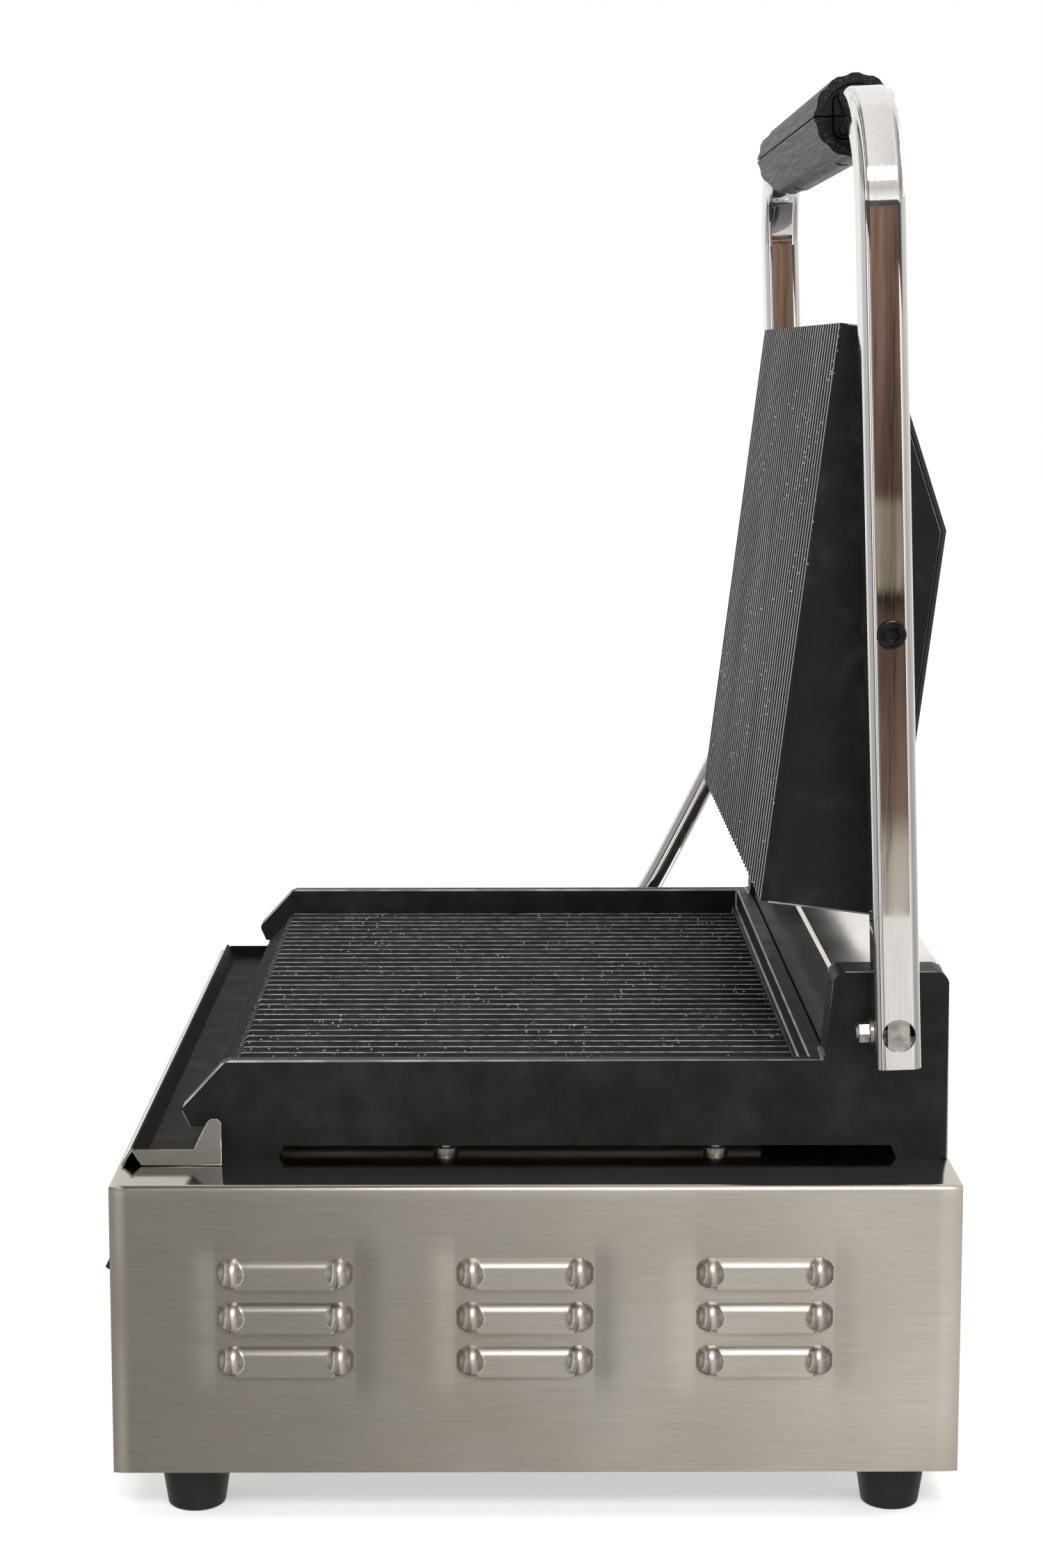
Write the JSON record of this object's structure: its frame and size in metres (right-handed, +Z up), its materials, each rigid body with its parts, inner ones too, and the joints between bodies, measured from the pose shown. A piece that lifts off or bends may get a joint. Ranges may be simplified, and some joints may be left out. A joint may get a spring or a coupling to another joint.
{
  "type": "panini press",
  "caption": "Wide countertop panini press: ribbed cast plates, a floating upper plate on a square chrome lever handle, louvred steel casing, drip tray and controls.",
  "frame": {"origin": "on the table under the middle of the press: centre of the bounding box's bottom face, at the foot of the rubber feet", "axes": "+Z up, -Y to the front where the drip tray, knob and switch are, +X to the press's right-hand side seen from the front"},
  "size_m": [0.419, 0.352, 0.5229],
  "materials": {
    "stainless": "brushed",
    "steel_fixings": "zinc plated",
    "cast_iron": "satin enamel",
    "black_sheet": "powder coated",
    "chrome": "polished",
    "phenolic": "moulded phenolic",
    "rubber": "moulded",
    "black_oxide": "black oxide",
    "bronze": "sintered",
    "spring_steel": "oiled",
    "insulation": "mica board",
    "black_plastic": "moulded",
    "red_plastic": "translucent",
    "lens": "translucent",
    "ceramic": "glazed",
    "copper": "drawn"
  },
  "bodies": {
    "base": {"casing_wrap": "stainless", "front_panel": "stainless", "rear_panel": "stainless", "base_plate": "steel_fixings", "rubber_feet": "rubber", "foot_screws": "steel_fixings", "panel_screws": "steel_fixings", "lower_plate": "cast_iron", "plate_bolts": "steel_fixings", "lower_element": "steel_fixings", "lower_insulation": "insulation", "lower_clamp_plate": "steel_fixings", "rear_cover": "stainless", "cover_screws": "steel_fixings", "shaft_bushes": "bronze", "torsion_springs": "spring_steel", "spring_bracket": "steel_fixings", "thermostat_body": "black_plastic", "capillary_bulb": "copper", "switch_housing": "black_plastic", "lamp_bezels": "chrome", "lamp_lenses": "lens", "terminal_block": "ceramic", "cable_gland": "black_plastic", "conduit_gland": "steel_fixings", "lead_conduit": "chrome"},
    "tray": {"drip_tray": "stainless"},
    "knob": {"thermostat_knob": "black_plastic", "thermostat_spindle": "steel_fixings"},
    "rocker": {"switch_rocker": "black_plastic"},
    "handle": {"handle_tube": "chrome", "hinge_shaft": "steel_fixings", "grip_lower_shell": "phenolic", "grip_upper_shell": "phenolic", "grip_screws": "steel_fixings", "clamp_bolts": "steel_fixings", "clamp_washers": "steel_fixings", "conduit_clip": "steel_fixings", "lead_tail": "chrome"},
    "lid": {"upper_plate": "cast_iron", "upper_cover": "black_sheet", "upper_cover_screws": "steel_fixings", "upper_element": "steel_fixings", "upper_insulation": "insulation", "upper_clamp_plate": "steel_fixings", "pivot_bolts": "black_oxide", "pivot_spacers": "steel_fixings", "lead_entry": "black_plastic"}
  },
  "joints": [
    {"name": "handle_swing", "type": "hinge", "parent": "base", "child": "handle", "pos_m": [0, 0.1304, 0.1776], "axis": [1, 0, 0], "range_deg": [0, 86.3], "stiffness_Nm_per_rad": 6, "springref_deg": -28.65, "deforming": ["lead_conduit"]},
    {"name": "plate_tilt", "type": "hinge", "parent": "handle", "child": "lid", "pos_m": [0, 0.1252, 0.3222], "axis": [1, 0, 0], "range_deg": [0, 11], "deforming": ["lead_tail"]},
    {"name": "tray_slide", "type": "slide", "parent": "base", "child": "tray", "axis": [0, -1, 0], "range_m": [0, 0.1]},
    {"name": "knob_turn", "type": "hinge", "parent": "base", "child": "knob", "pos_m": [0, -0.16, 0.061], "axis": [0, -1, 0], "range_deg": [-270, 0]},
    {"name": "rocker_tip", "type": "hinge", "parent": "base", "child": "rocker", "pos_m": [0.15, -0.1485, 0.091], "axis": [1, 0, 0], "range_deg": [0, 13]}
  ],
  "couplings": [
    {"joint": "plate_tilt", "follows": "handle_swing", "ratio": 0.1244}
  ]
}
